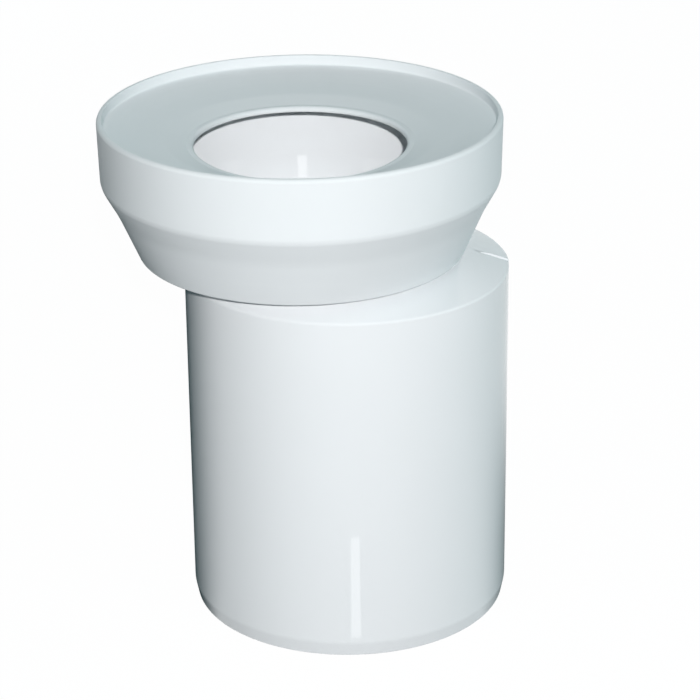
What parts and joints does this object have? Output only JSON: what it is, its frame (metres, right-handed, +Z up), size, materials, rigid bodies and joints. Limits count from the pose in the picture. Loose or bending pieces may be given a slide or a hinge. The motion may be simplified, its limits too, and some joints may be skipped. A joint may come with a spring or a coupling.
{
  "type": "toilet pan connector",
  "caption": "White offset toilet pan connector: a plain spigot tube, a sloping shoulder with an offset throat, and a flared socket wrapped by a soft seal with an upright rim, sloping membrane and round inlet.",
  "frame": {"origin": "on the spigot axis, in the plane of the spigot's open end", "axes": "+Z up the spigot axis towards the pan, +X away from the socket, whose axis is parallel to Z and offset 15 mm towards -X"},
  "size_m": [0.1374, 0.135, 0.1751],
  "materials": {
    "rigid_white": "glossy white moulded plastic",
    "soft_white": "satin white soft seal"
  },
  "bodies": {
    "root": {"pipe_body": "rigid_white", "pan_seal": "soft_white"}
  },
  "joints": []
}
